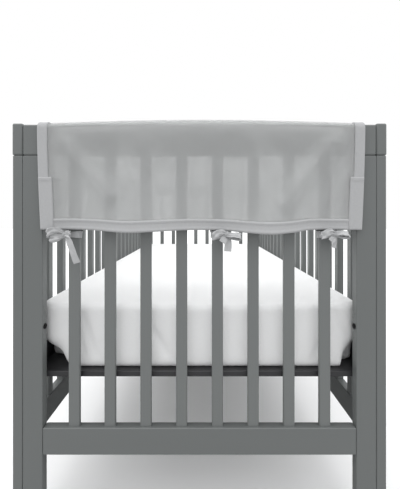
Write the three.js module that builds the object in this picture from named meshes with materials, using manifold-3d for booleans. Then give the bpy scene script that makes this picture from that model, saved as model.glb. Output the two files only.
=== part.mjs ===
// A crib bumper of the rail-cover kind: a sheer knitted mesh panel, bound with woven tape, that is
// draped over the top rail of one end of a crib and tied below the rail round three of the slats.
// The crib that carries it is built with it: two ends, two slatted sides, a support and a mattress.
// Millimetres, +Z up. X runs across the crib, -Y is the end that wears the cover.
// The origin is on the floor at the middle of the footprint.

import * as THREE from "three";
import { RoundedBoxGeometry } from "three/addons/geometries/RoundedBoxGeometry.js";
import { mergeVertices } from "three/addons/utils/BufferGeometryUtils.js";
import Module from "manifold-3d";

const wasm = await Module();
wasm.setup();

// The crib's driving sizes.
const CRIB_WIDTH = 763;
const CRIB_LENGTH = 1378;
const RAIL_TOP = 865;
const RAIL_HEIGHT = 63;
const RAIL_EASING = 5;
const END_THICK = 19;
const END_POST_WIDE = 41;
const END_SLATS = 8;
const END_SLAT_WIDE = 23;
const END_SLAT_THICK = 9;
const SIDE_THICK = 20;
const SIDE_POST_DEEP = 60;
const SIDE_SLATS = 17;
const SIDE_SLAT_WIDE = 20;
const SIDE_SLAT_THICK = 16;
const SIDE_CAP_THICK = 21.5;
const SIDE_CAP_RISE = 2.5;
const LOWER_RAIL_UNDERSIDE = 190;
const LOWER_RAIL_HEIGHT = 55;
const EDGE_EASING = 2.5;
const SEAM = 0.4;

// The mattress and the board under it.
const MATTRESS_WIDE = 692;
const MATTRESS_LONG = 1311;
const MATTRESS_THICK = 140;
const MATTRESS_TOP = 492;
const MATTRESS_ROUNDING = 34;
const SUPPORT_THICK = 12;
const SUPPORT_WIDE = 700;

// The cover's driving sizes. Flat, it is 664 across and about 456 from hem to hem. It was laid
// over the rail a few millimetres off its middle.
const COVER_WIDE = 664;
const COVER_TO_RIGHT = 3.4;
const COVER_DROP = 215;
const MESH_THICK = 1.2;
const TAPE_THICK = 0.9;
const TAPE_CLEARANCE = 0.7;
const HEM_WIDE = 22;
const UPPER_BINDING_WIDE = 22;
const FACING_WIDE = 27;
const FACING_DROP = 108;
const RAIL_CLEARANCE = 4.5;
const RIDGE_RADIUS = 13;
const RIDGE_LIFT = 2.5;
const HEM_NARROWING = 0.025;

// The ribbons of the ties.
const RIBBON_WIDE = 14;
const RIBBON_THICK = 1.2;
const KNOT_BELOW_HEM = 9;
const KNOT_OUT = 22.5;

const MATERIALS = {
  paint: { color: 0x7a7e7d, roughness: 0.5 },
  sheet: { color: 0xf2f2f1, roughness: 0.9 },
  support: { color: 0x2b2b2c, roughness: 0.6 },
  mesh: { color: 0xcfd1d1, roughness: 0.85 },
  tape: { color: 0xd6d6d9, roughness: 0.9 },
};
for (const [name, look] of Object.entries(MATERIALS))
  MATERIALS[name] = new THREE.MeshStandardMaterial({ ...look, metalness: 0, name });

function piece(name, geometry, material, place = [0, 0, 0]) {
  const mesh = new THREE.Mesh(geometry, MATERIALS[material]);
  mesh.name = name;
  mesh.position.set(...place);
  return mesh;
}

// Solids that need a join go through these two.
function solidOf(geometry) {
  const bare = geometry.index ? geometry.toNonIndexed() : geometry.clone();
  bare.deleteAttribute("normal");
  bare.deleteAttribute("uv");
  const merged = mergeVertices(bare, 1e-4);
  return new wasm.Manifold(
    new wasm.Mesh({
      numProp: 3,
      vertProperties: new Float32Array(merged.attributes.position.array),
      triVerts: new Uint32Array(merged.index.array),
    }),
  );
}

function geometryOf(solid) {
  const { vertProperties, triVerts } = solid.getMesh();
  return new THREE.BufferGeometry()
    .setAttribute("position", new THREE.BufferAttribute(new Float32Array(vertProperties), 3))
    .setIndex(new THREE.BufferAttribute(new Uint32Array(triVerts), 1));
}

function joined(geometries) {
  const solids = geometries.map(solidOf);
  return geometryOf(solids.reduce((whole, next) => whole.add(next)));
}

// A rail, post or slat: a bar whose four long edges are eased, centred on its own middle.
function bar(x, y, z, along, easing = EDGE_EASING) {
  const [a, b, length] = { X: [y, z, x], Y: [x, z, y], Z: [x, y, z] }[along];
  const r = easing;
  const section = new THREE.Shape();
  section.moveTo(-a / 2 + r, -b / 2);
  section.absarc(a / 2 - r, -b / 2 + r, r, -Math.PI / 2, 0);
  section.absarc(a / 2 - r, b / 2 - r, r, 0, Math.PI / 2);
  section.absarc(-a / 2 + r, b / 2 - r, r, Math.PI / 2, Math.PI);
  section.absarc(-a / 2 + r, -b / 2 + r, r, Math.PI, 1.5 * Math.PI);
  const made = new THREE.ExtrudeGeometry(section, {
    depth: length,
    steps: 1,
    bevelEnabled: false,
    curveSegments: 1,
  });
  made.translate(0, 0, -length / 2);
  if (along === "X") made.rotateZ(Math.PI / 2).rotateY(Math.PI / 2);
  if (along === "Y") made.rotateX(Math.PI / 2);
  return made;
}

const RAIL_UNDERSIDE = RAIL_TOP - RAIL_HEIGHT;
const LOWER_RAIL_TOP = LOWER_RAIL_UNDERSIDE + LOWER_RAIL_HEIGHT;
const END_HALF = CRIB_WIDTH / 2 - SIDE_THICK;
const END_INSIDE = END_HALF - END_POST_WIDE;
const END_GAP = (2 * END_INSIDE - END_SLATS * END_SLAT_WIDE) / (END_SLATS + 1);
const END_PLANE = CRIB_LENGTH / 2 - END_THICK / 2;
const SLAT_LONG = RAIL_UNDERSIDE - LOWER_RAIL_TOP - 2 * SEAM;
const SLAT_MIDDLE = (RAIL_UNDERSIDE + LOWER_RAIL_TOP) / 2;

const endSlatX = (i) => -END_INSIDE + END_GAP + END_SLAT_WIDE / 2 + i * (END_GAP + END_SLAT_WIDE);

// One end of the crib: a top rail that lies over two posts, a lower rail between them and the slats.
function cribEnd(which, y) {
  const end = new THREE.Group();
  const topMiddle = RAIL_TOP - RAIL_HEIGHT / 2;
  const lowerMiddle = LOWER_RAIL_TOP - LOWER_RAIL_HEIGHT / 2;
  const postLong = RAIL_UNDERSIDE - SEAM;
  end.add(
    piece(
      `end_top_rail_${which}`,
      bar(2 * END_HALF - 2 * SEAM, END_THICK, RAIL_HEIGHT, "X", RAIL_EASING),
      "paint",
      [0, y, topMiddle],
    ),
    piece(
      `end_lower_rail_${which}`,
      bar(2 * END_INSIDE - 2 * SEAM, END_THICK, LOWER_RAIL_HEIGHT, "X"),
      "paint",
      [0, y, lowerMiddle],
    ),
  );
  for (const [side, sign] of [["left", -1], ["right", 1]]) {
    const x = sign * ((END_HALF + END_INSIDE) / 2 - SEAM / 2);
    end.add(
      piece(
        `end_post_${which}_${side}`,
        bar(END_POST_WIDE - SEAM, END_THICK, postLong, "Z"),
        "paint",
        [x, y, postLong / 2],
      ),
    );
  }
  for (let i = 0; i < END_SLATS; i++)
    end.add(
      piece(
        `end_slat_${which}_${i + 1}`,
        bar(END_SLAT_WIDE, END_SLAT_THICK, SLAT_LONG, "Z"),
        "paint",
        [endSlatX(i), y, SLAT_MIDDLE],
      ),
    );
  return end;
}

// One long side: a cap rail on two posts, and between the posts one comb of lower rail and slats.
function cribSide(side, sign) {
  const group = new THREE.Group();
  const plane = sign * (CRIB_WIDTH / 2 - SIDE_THICK / 2);
  const capPlane = sign * (CRIB_WIDTH / 2 - SIDE_THICK + SIDE_CAP_THICK / 2);
  const capHeight = RAIL_HEIGHT + SIDE_CAP_RISE;
  const inside = CRIB_LENGTH - 2 * SIDE_POST_DEEP;
  const gap = (inside - SIDE_SLATS * SIDE_SLAT_WIDE) / (SIDE_SLATS + 1);
  const postLong = RAIL_UNDERSIDE - SEAM;
  group.add(
    piece(
      `side_top_rail_${side}`,
      bar(SIDE_CAP_THICK, CRIB_LENGTH, capHeight, "Y", RAIL_EASING),
      "paint",
      [capPlane, 0, RAIL_UNDERSIDE + capHeight / 2],
    ),
  );
  for (const [end, way] of [["front", -1], ["back", 1]])
    group.add(
      piece(
        `side_post_${side}_${end}`,
        bar(SIDE_THICK, SIDE_POST_DEEP, postLong, "Z"),
        "paint",
        [plane, way * (CRIB_LENGTH / 2 - SIDE_POST_DEEP / 2), postLong / 2],
      ),
    );
  const lowerRail = bar(SIDE_THICK, inside - 2 * SEAM, LOWER_RAIL_HEIGHT, "Y");
  lowerRail.translate(0, 0, LOWER_RAIL_TOP - LOWER_RAIL_HEIGHT / 2);
  const comb = [lowerRail];
  const sunk = EDGE_EASING + 1;
  for (let i = 0; i < SIDE_SLATS; i++) {
    const y = -inside / 2 + gap + SIDE_SLAT_WIDE / 2 + i * (gap + SIDE_SLAT_WIDE);
    const long = RAIL_UNDERSIDE - SEAM - LOWER_RAIL_TOP + sunk;
    const slat = bar(SIDE_SLAT_THICK, SIDE_SLAT_WIDE, long, "Z");
    comb.push(slat.translate(0, y, LOWER_RAIL_TOP - sunk + long / 2));
  }
  group.add(piece(`side_slats_${side}`, joined(comb), "paint", [plane, 0, 0]));
  return group;
}

// The mattress in its fitted sheet, and the dark board that the two ends carry it on.
function bed() {
  const group = new THREE.Group();
  const mattress = new RoundedBoxGeometry(
    MATTRESS_WIDE,
    MATTRESS_LONG,
    MATTRESS_THICK,
    3,
    MATTRESS_ROUNDING,
  );
  const supportLong = CRIB_LENGTH - 2 * END_THICK - 2 * SEAM;
  const supportTop = MATTRESS_TOP - MATTRESS_THICK - SEAM;
  group.add(
    piece("mattress", mattress, "sheet", [0, 0, MATTRESS_TOP - MATTRESS_THICK / 2]),
    piece(
      "mattress_support",
      bar(SUPPORT_WIDE, supportLong, SUPPORT_THICK, "Y"),
      "support",
      [0, 0, supportTop - SUPPORT_THICK / 2],
    ),
  );
  return group;
}

// The drape. In the cover's own frame the origin is on top of the rail at its middle.
// Each row is a place along the hem: how far it stands out, and how far it sags below the rest.
const FRONT_HEM = [
  { across: -334, out: 4, sag: 0 },
  { across: -272, out: 1, sag: -1 },
  { across: -226, out: 5, sag: 0 },
  { across: -155, out: 15, sag: 5 },
  { across: -104, out: 13, sag: 3.5 },
  { across: -22, out: 4, sag: 0 },
  { across: 49, out: 1.5, sag: 1.5 },
  { across: 95, out: 10, sag: 5.5 },
  { across: 140, out: 18, sag: 8 },
  { across: 186, out: 13, sag: 5 },
  { across: 222, out: 5, sag: 0 },
  { across: 265, out: 1, sag: -0.5 },
  { across: 334, out: 4, sag: 0.5 },
];
const BACK_HEM = [
  { across: -334, out: 4, sag: 0 },
  { across: -225, out: 1, sag: 0 },
  { across: -150, out: 12, sag: 4 },
  { across: -72, out: 9, sag: 3 },
  { across: 0, out: 1, sag: 0 },
  { across: 115, out: 14, sag: 5 },
  { across: 220, out: 1, sag: 0 },
  { across: 334, out: 4, sag: 0 },
];
// Soft ridges, and troughs where "rise" is negative: a ridge that runs along just below the bend
// over the rail, those that the cloth draws from the rail's ends down to the sagging hem, and the
// shallow waves between them.
const FRONT_FOLDS = [
  { x1: -250, drop1: 28, x2: 250, drop2: 28, rise: 3.5, spread: 18 },
  { x1: -291, drop1: 20, x2: -188, drop2: 141, rise: 6, spread: 15 },
  { x1: 280, drop1: 20, x2: 169, drop2: 157, rise: 6, spread: 16 },
  { x1: -120, drop1: 215, x2: -150, drop2: 70, rise: 2.5, spread: 20 },
  { x1: 140, drop1: 215, x2: 120, drop2: 80, rise: 2.5, spread: 20 },
  { x1: -112, drop1: 42, x2: -94, drop2: 70, rise: 2.5, spread: 20 },
  { x1: 112, drop1: 36, x2: 124, drop2: 62, rise: 2.5, spread: 20 },
  { x1: -190, drop1: 52, x2: -172, drop2: 78, rise: -1.6, spread: 18 },
  { x1: 5, drop1: 62, x2: 72, drop2: 74, rise: -1.6, spread: 18 },
  { x1: 160, drop1: 56, x2: 176, drop2: 84, rise: -1.6, spread: 18 },
];
const BACK_FOLDS = [
  { x1: -290, drop1: 15, x2: -200, drop2: 160, rise: 4, spread: 18 },
  { x1: 285, drop1: 15, x2: 190, drop2: 160, rise: 4, spread: 18 },
];

// A smooth curve through the rows of a table.
function along(rows, key, x) {
  const last = rows.length - 1;
  const at = Math.min(Math.max(x, rows[0].across), rows[last].across);
  let i = 0;
  while (i < last - 1 && rows[i + 1].across < at) i++;
  const [a, b] = [rows[i], rows[i + 1]];
  const slope = (j) => {
    const [lo, hi] = [rows[Math.max(j - 1, 0)], rows[Math.min(j + 1, last)]];
    return (hi[key] - lo[key]) / (hi.across - lo.across);
  };
  const span = b.across - a.across;
  const t = (at - a.across) / span;
  return (
    a[key] * (1 + 2 * t) * (1 - t) ** 2 +
    slope(i) * span * t * (1 - t) ** 2 +
    b[key] * t * t * (3 - 2 * t) +
    slope(i + 1) * span * t * t * (t - 1)
  );
}

function fold(row, x, drop) {
  const [dx, dd] = [row.x2 - row.x1, row.drop2 - row.drop1];
  const t = ((x - row.x1) * dx + (drop - row.drop1) * dd) / (dx * dx + dd * dd);
  const held = Math.min(Math.max(t, 0), 1);
  const away = Math.hypot(x - row.x1 - held * dx, drop - row.drop1 - held * dd);
  return row.rise * Math.exp(-((away / row.spread) ** 2));
}

const RIDGE_FLAT = END_THICK / 2 + RAIL_CLEARANCE - RIDGE_RADIUS;
const RIDGE_ARC = (RIDGE_RADIUS * Math.PI) / 2;
const FALL = COVER_DROP + RAIL_CLEARANCE - RIDGE_RADIUS;
const COVER_HALF_LONG = RIDGE_FLAT + RIDGE_ARC + FALL;
const INNER = COVER_WIDE / 2 - FACING_WIDE;

// The cloth's middle surface. q runs along the cloth from the ridge, negative to the front.
function surface(across, q) {
  const front = q < 0;
  const way = front ? -1 : 1;
  const s = Math.abs(q);
  const arc = Math.min(Math.max(s - RIDGE_FLAT, 0), RIDGE_ARC) / RIDGE_RADIUS;
  const fall = Math.max(s - RIDGE_FLAT - RIDGE_ARC, 0);
  const share = fall / FALL;
  const drop = fall + RIDGE_RADIUS - RAIL_CLEARANCE;
  const rows = front ? FRONT_HEM : BACK_HEM;
  const folds = front ? FRONT_FOLDS : BACK_FOLDS;
  const x = Math.min(Math.max(across, -INNER), INNER);
  const ridges = folds.reduce((sum, row) => sum + fold(row, x, drop), 0);
  const free = Math.min(1, (INNER - Math.abs(x)) / 45) * Math.min(1, fall / 30);
  const out = along(rows, "out", x) * share ** 1.5 + ridges * free;
  const sag = along(rows, "sag", x) * share ** 2;
  const puff = Math.cos((Math.PI * x) / (2 * INNER)) * (1 - Math.min(1, fall / 40));
  return new THREE.Vector3(
    across * (1 - HEM_NARROWING * share ** 1.5),
    way * (Math.min(s, RIDGE_FLAT) + RIDGE_RADIUS * Math.sin(arc) + out),
    RAIL_CLEARANCE - RIDGE_RADIUS * (1 - Math.cos(arc)) - fall - sag + RIDGE_LIFT * puff,
  );
}

// A point n off that surface, outwards.
function draped(across, q, n) {
  const step = 1;
  const u = surface(across + step, q).sub(surface(across - step, q));
  const v = surface(across, q + step).sub(surface(across, q - step));
  return surface(across, q).addScaledVector(u.cross(v).normalize(), n);
}

// The lines of the cloth's grid, close on the bends and wider down the falls.
const FALL_STEPS = 9;
const ARC_STEPS = 4;
const WAVE_COLUMNS = 28;
const steps = (from, to, count) =>
  Array.from({ length: count + 1 }, (_, i) => from + ((to - from) * i) / count);
const half = [
  ...steps(RIDGE_FLAT, RIDGE_FLAT + RIDGE_ARC, ARC_STEPS),
  ...steps(RIDGE_FLAT + RIDGE_ARC, COVER_HALF_LONG - HEM_WIDE, FALL_STEPS).slice(1),
  COVER_HALF_LONG,
];
const LENGTHWISE = [...half.map((q) => -q).reverse(), ...half];
const ACROSS = [
  -COVER_WIDE / 2,
  ...steps(-INNER, INNER, WAVE_COLUMNS),
  COVER_WIDE / 2,
];

const between = (lines, from, to) => [
  from,
  ...lines.filter((v) => v > from + 0.5 && v < to - 0.5),
  to,
];

// Bends a flat geometry onto the drape. placed gives across, q and n for each of its corners.
function ontoDrape(geometry, placed) {
  const p = geometry.attributes.position;
  for (let i = 0; i < p.count; i++) {
    const at = draped(...placed(p.getX(i), p.getY(i), p.getZ(i)));
    p.setXYZ(i, at.x, at.y, at.z);
  }
  return geometry;
}

const TAPE_OUT = MESH_THICK / 2 + TAPE_CLEARANCE + TAPE_THICK;
const MESH_EDGE = TAPE_THICK + TAPE_CLEARANCE;

// The mesh panel is one sheet. It stops just inside the folds of the tape that binds it.
function meshPanel() {
  const across = between(ACROSS, -COVER_WIDE / 2 + MESH_EDGE, COVER_WIDE / 2 - MESH_EDGE);
  const lengthwise = between(
    LENGTHWISE,
    -COVER_HALF_LONG + MESH_EDGE,
    COVER_HALF_LONG - MESH_EDGE,
  );
  const [columns, rows] = [across.length - 1, lengthwise.length - 1];
  const flat = new THREE.BoxGeometry(columns, rows, 1, columns, rows, 1);
  const line = (lines, v, count) => lines[Math.round(v + count / 2)];
  return ontoDrape(flat, (x, y, z) => [
    line(across, x, columns),
    line(lengthwise, y, rows),
    2 * z * (MESH_THICK / 2),
  ]);
}

// A tape folded in two over the mesh's edge: a U whose mouth points along +x and is edge deep.
function foldedTape(wide) {
  const [outer, inner] = [TAPE_OUT, TAPE_OUT - TAPE_THICK];
  return new THREE.Shape([
    new THREE.Vector2(0, -outer),
    new THREE.Vector2(wide, -outer),
    new THREE.Vector2(wide, -inner),
    new THREE.Vector2(TAPE_THICK, -inner),
    new THREE.Vector2(TAPE_THICK, inner),
    new THREE.Vector2(wide, inner),
    new THREE.Vector2(wide, outer),
    new THREE.Vector2(0, outer),
  ]);
}

function extruded(shape, steps) {
  return new THREE.ExtrudeGeometry(shape, { depth: steps, steps, bevelEnabled: false });
}

// A tape down one side edge, from one place along the cloth to another.
function sideTape(side, wide, from, to) {
  const stops = between(LENGTHWISE, from, to);
  return ontoDrape(extruded(foldedTape(wide), stops.length - 1), (x, y, z) => [
    side * (COVER_WIDE / 2 - x),
    stops[Math.round(z)],
    side * y,
  ]);
}

// The tape along one hem, between the two facings.
function hemTape(way) {
  const reach = INNER - SEAM / 2;
  const stops = between(ACROSS, -reach, reach);
  return ontoDrape(extruded(foldedTape(HEM_WIDE), stops.length - 1), (x, y, z) => [
    stops[Math.round(z)],
    way * (COVER_HALF_LONG - x),
    -way * y,
  ]);
}

// A strip of ribbon through the points of a route. "wide" gives the direction of its width, for
// each point of the route or for its two ends alone.
function ribbon(route, wide, steps) {
  const curve = new THREE.CatmullRomCurve3(
    route.map((p) => new THREE.Vector3(...p)),
    false,
    "centripetal",
  );
  const widthAt = (t) => {
    const i = Math.min(Math.floor(t * (wide.length - 1)), wide.length - 2);
    const next = new THREE.Vector3(...wide[i + 1]);
    return new THREE.Vector3(...wide[i]).lerp(next, t * (wide.length - 1) - i);
  };
  const flat = new THREE.BoxGeometry(RIBBON_WIDE, RIBBON_THICK, steps, 1, 1, steps);
  const p = flat.attributes.position;
  for (let i = 0; i < p.count; i++) {
    const t = Math.round(p.getZ(i) + steps / 2) / steps;
    const middle = curve.getPoint(t);
    const ahead = curve.getTangent(t);
    const across = widthAt(t);
    across.addScaledVector(ahead, -across.dot(ahead)).normalize();
    const face = ahead.clone().cross(across);
    middle.addScaledVector(across, p.getX(i)).addScaledVector(face, p.getY(i));
    p.setXYZ(i, middle.x, middle.y, middle.z);
  }
  return flat;
}

// The bows. Every route is measured from the middle of its knot; y is negative to the front.
// "wide" is the direction of the ribbon's width at the two ends of the route.
const stem = (away) => ({
  route: [[4 * away, 11.4, 19], [4 * away, 11.2, 13], [4 * away, 10.8, 8], [2 * away, 4.5, 1]],
  wide: [[1, 0, 0], [1, 0, 0]],
  steps: 5,
});
const TIES = [
  {
    name: "left",
    slat: 1,
    knotX: -272,
    strapSide: 1,
    strands: [
      {
        route: [
          [0, -3, 3], [-10, -8, 8], [-22, -10, 8], [-32, -7, 4],
          [-34, -1, 1], [-26, 1.5, 0], [-13, 1.5, 0], [-2, 1, 1],
        ],
        wide: [[0.1, -0.2, 1], [-0.1, 0.2, 1]],
        steps: 14,
      },
      {
        route: [
          [0, -3, -3], [-9, -9, -6], [-19, -9, -8.5], [-27, -5, -7],
          [-26, 0, -7], [-15, 1.5, -6], [-2, 1, -3],
        ],
        wide: [[0.35, -0.1, 1], [0.1, 0.2, 1]],
        steps: 12,
      },
      {
        route: [[0, -3, 1], [6, -8, 2], [11, -7, 1], [11.5, -2, 0], [6, 1, 0], [1, 0, 0]],
        wide: [[0, 0, 1], [0.1, 0.2, 1]],
        steps: 9,
      },
      {
        route: [
          [2, -3, -3], [6, -7, -9], [10, -9, -18],
          [14, -9, -32], [18, -8, -45], [22, -6, -57],
        ],
        wide: [[0.8, -0.5, 0.4], [1, -0.1, 0.3]],
        steps: 10,
      },
    ],
  },
  {
    name: "middle",
    slat: 5,
    knotX: 49.5,
    strapSide: -1,
    strands: [
      {
        route: [
          [0, -4, 2], [-8, -9, 5], [-17, -11, 2.5], [-25, -8, -3],
          [-27, -2, -5], [-17, 1.5, -4], [-2, 1, -1],
        ],
        wide: [[-0.2, -0.2, 1], [0, 0.2, 1]],
        steps: 13,
      },
      {
        route: [
          [0, -3, -1], [9, -9, 0.5], [18, -11, 1], [27, -11, -0.5],
          [30, -9, -4], [25, -8, -7.5], [14, -5, -6.5], [2, -1, -2],
        ],
        wide: [[0, 0.9, 0.45], [0, 0.85, 0.5]],
        steps: 14,
      },
      {
        route: [[-1, -3, -3], [-4, -7, -9], [-8, -9, -15]],
        wide: [[0.8, 0, -0.5], [0.8, 0, -0.6]],
        steps: 5,
      },
      {
        route: [[1, -2, -3], [4, -4, -12], [4, -5, -22], [3, -5, -33]],
        wide: [[0.9, 0.4, 0], [1, 0.05, 0]],
        steps: 8,
      },
    ],
  },
  {
    name: "right",
    slat: 8,
    knotX: 265,
    strapSide: -1,
    strands: [
      {
        route: [
          [0, -4, 3], [-7, -9, 6], [-16, -11, 4.5], [-24, -8, -0.5],
          [-26, -2, -2.5], [-17, 1.5, -3], [-2, 1, 0],
        ],
        wide: [[-0.2, -0.2, 1], [0, 0.2, 1]],
        steps: 13,
      },
      {
        route: [
          [0, -3, 1], [9, -8, 4], [19, -9, 4.5], [28, -8, 3],
          [31, -6, -0.5], [25, -5, -4], [14, -4, -3.5], [2, -1, -1],
        ],
        wide: [[0, 0.92, 0.4], [0, 0.9, 0.42]],
        steps: 14,
      },
      {
        route: [[-1, -3, -3], [-5, -7, -8], [-9, -9, -13]],
        wide: [[0.7, 0, -0.6], [0.7, 0, -0.7]],
        steps: 5,
      },
      {
        route: [[1, -2, -3], [2, -4, -11], [1.5, -5, -20], [0, -5, -29]],
        wide: [[0.8, 0.6, 0], [0.8, 0.5, 0]],
        steps: 7,
      },
    ],
  },
];
const KNOT_SIZE = [7, 6, 7.5];
const KNOT_HEIGHT = -COVER_DROP - KNOT_BELOW_HEM;

// The half of a tie that is sewn to the front hem: its stem, knot, loops and free ends.
function tieFront({ name, knotX, strapSide, strands }) {
  const knot = new THREE.SphereGeometry(1, 10, 7).scale(...KNOT_SIZE);
  const parts = [stem(-strapSide), ...strands].map((s) => ribbon(s.route, s.wide, s.steps));
  return piece(`tie_${name}_front`, joined([knot, ...parts]), "tape", [
    knotX,
    -KNOT_OUT,
    KNOT_HEIGHT,
  ]);
}

// The half that is sewn to the back hem: it comes down behind the slat, turns forward past its
// side, lies across its front face and ends against the knot.
function tieBack({ name, slat, knotX, strapSide }) {
  const slatX = endSlatX(slat - 1) - COVER_TO_RIGHT;
  const [half, clear] = [END_SLAT_WIDE / 2, 1.5];
  const beside = slatX + strapSide * (half + clear);
  const before = -END_SLAT_THICK / 2 - 1.9;
  const level = KNOT_HEIGHT - 1;
  const behindKnot = -KNOT_OUT + KNOT_SIZE[1] + RIBBON_THICK / 2 + SEAM;
  const upright = [0, 0, 1];
  const rows = [
    { at: [slatX - strapSide * 5, 11, level + 25], wide: [strapSide, 0, 0.45] },
    { at: [slatX + strapSide * 1, 10.2, level + 14], wide: [strapSide, 0, 0.6] },
    { at: [slatX + strapSide * 8, 9, level + 5], wide: [0.7 * strapSide, 0, 1] },
    { at: [beside, 4, level], wide: upright },
    { at: [beside, 1 - END_SLAT_THICK / 2, level], wide: upright },
    { at: [beside - strapSide * 3, before, level], wide: upright },
    { at: [slatX, before, level], wide: upright },
    { at: [slatX - strapSide * 9, before - 0.5, level], wide: upright },
    { at: [knotX + strapSide * 7.5, behindKnot, level], wide: upright },
  ];
  const strap = ribbon(rows.map((row) => row.at), rows.map((row) => row.wide), 24);
  return piece(`tie_${name}_back`, strap, "tape");
}

function cover() {
  const group = new THREE.Group();
  group.position.set(COVER_TO_RIGHT, -END_PLANE, RAIL_TOP);
  group.add(piece("mesh_panel", meshPanel(), "mesh"));
  const seamAt = RIDGE_FLAT + RIDGE_ARC + FACING_DROP - RIDGE_RADIUS + RAIL_CLEARANCE;
  for (const [side, sign] of [["left", -1], ["right", 1]]) {
    group.add(
      piece(
        `binding_${side}`,
        sideTape(sign, UPPER_BINDING_WIDE, -seamAt + SEAM / 2, seamAt - SEAM / 2),
        "tape",
      ),
      piece(
        `facing_front_${side}`,
        sideTape(sign, FACING_WIDE - SEAM / 2, -COVER_HALF_LONG, -seamAt - SEAM / 2),
        "tape",
      ),
      piece(
        `facing_back_${side}`,
        sideTape(sign, FACING_WIDE - SEAM / 2, seamAt + SEAM / 2, COVER_HALF_LONG),
        "tape",
      ),
    );
  }
  group.add(piece("hem_front", hemTape(-1), "tape"), piece("hem_back", hemTape(1), "tape"));
  for (const tie of TIES) group.add(tieFront(tie), tieBack(tie));
  return group;
}

const model = new THREE.Group();
model.add(
  cribEnd("front", -END_PLANE),
  cribEnd("back", END_PLANE),
  cribSide("left", -1),
  cribSide("right", 1),
  bed(),
  cover(),
);

// The cover stands a little proud of one end, so the whole is moved to centre its footprint.
const footprint = new THREE.Box3().setFromObject(model).getCenter(new THREE.Vector3());
model.position.set(-footprint.x, -footprint.y, 0);

export default model;
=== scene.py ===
# A crib bumper of the rail-cover kind on the end of a slatted crib. Sheer knitted mesh, bound with
# woven tape, lies over the end rail and is tied under it with bows round three of the slats.

import math

import bmesh
import bpy
import numpy as np
from mathutils import Matrix, Vector


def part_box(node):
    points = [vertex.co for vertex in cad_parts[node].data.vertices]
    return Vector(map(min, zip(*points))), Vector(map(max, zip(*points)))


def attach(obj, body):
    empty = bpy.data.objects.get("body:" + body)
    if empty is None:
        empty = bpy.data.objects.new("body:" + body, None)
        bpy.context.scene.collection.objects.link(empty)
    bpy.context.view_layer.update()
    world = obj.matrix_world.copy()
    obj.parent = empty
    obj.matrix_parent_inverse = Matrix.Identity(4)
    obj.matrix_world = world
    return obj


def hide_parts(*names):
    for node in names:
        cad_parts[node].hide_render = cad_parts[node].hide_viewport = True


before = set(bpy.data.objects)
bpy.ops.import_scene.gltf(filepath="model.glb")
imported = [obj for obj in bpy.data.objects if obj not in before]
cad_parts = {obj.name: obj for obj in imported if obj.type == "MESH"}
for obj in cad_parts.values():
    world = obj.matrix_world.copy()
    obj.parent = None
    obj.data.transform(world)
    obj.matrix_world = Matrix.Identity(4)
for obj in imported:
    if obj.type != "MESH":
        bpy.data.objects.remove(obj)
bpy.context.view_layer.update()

# The photographer's place: level, four fifths of the way up the crib, close in front of the
# covered end. The picture is 400 by 489, and its lines run together a little above its middle.
MM = 0.001
PHOTO_WIDE = 400
PHOTO_HIGH = 489
FOCAL_PIXELS = 302
SENSOR_WIDE = 36
MEETING_X = 202.3
MEETING_Y = 214
EYE_HEIGHT = 682 * MM
EYE_DISTANCE = 616 * MM
EYE_TO_RIGHT = 5.7 * MM

end_rail_low, end_rail_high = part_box("end_top_rail_front")


def put_in(name, data):
    made = bpy.data.objects.new(name, data)
    bpy.context.collection.objects.link(made)
    return made


photo_view = bpy.data.cameras.new("photo_view")
photo_view.sensor_width = SENSOR_WIDE
photo_view.lens = SENSOR_WIDE * FOCAL_PIXELS / PHOTO_HIGH
photo_view.shift_x = (PHOTO_WIDE / 2 - MEETING_X) / PHOTO_HIGH
photo_view.shift_y = (MEETING_Y - PHOTO_HIGH / 2) / PHOTO_HIGH
photographer = put_in("photo_view", photo_view)
photographer.location = (EYE_TO_RIGHT, end_rail_low.y - EYE_DISTANCE, EYE_HEIGHT)
photographer.rotation_euler = (math.radians(90), 0, 0)
bpy.context.scene.camera = photographer
bpy.context.scene.view_settings.view_transform = "Standard"

# The studio: a white sweep, a pale floor that throws little light back up, a soft light from high
# up in front, one from each side, and even light from all round. In it level faces are nearly
# white, and upright ones a good deal darker.
WHITE_SWEEP = 1.0
ROUND_LIGHT = 1.03
ROUND_LIGHT_COLOUR = (0.98, 0.99, 1.0, 1)
SOFT_LIGHT_WIDTH = math.radians(60)
SOFT_LIGHTS = [
    {"name": "high_light", "power": 1.1, "tilt": 20, "lean": -9},
    {"name": "left_light", "power": 0.75, "tilt": 0, "lean": -56},
    {"name": "right_light", "power": 0.65, "tilt": 0, "lean": 56},
]
FLOOR_SEEN = (0.92, 0.92, 0.92, 1)
FLOOR_THROWN = (0.42, 0.42, 0.42, 1)
FLOOR_ROUGHNESS = 0.9
FLOOR_REACH = 12.0


def fill_in(tree, node, **sources):
    """Sets a node's sockets to plain values, or links them to other nodes' outputs."""
    for label, source in sources.items():
        socket = node.inputs[label.replace("_", " ")]
        if isinstance(source, (int, float, tuple)):
            socket.default_value = source
        else:
            tree.links.new(source, socket)


def new_finish(name):
    finish = bpy.data.materials.new(name)
    finish.use_nodes = True
    return finish, finish.node_tree, finish.node_tree.nodes["Principled BSDF"]


def blend_colours(tree, shader, factor, first, second):
    mix = tree.nodes.new("ShaderNodeMix")
    mix.data_type = "RGBA"
    mix.inputs[6].default_value = first
    mix.inputs[7].default_value = second
    fill_in(tree, mix, Factor=factor)
    fill_in(tree, shader, Base_Color=mix.outputs[2])


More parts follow.
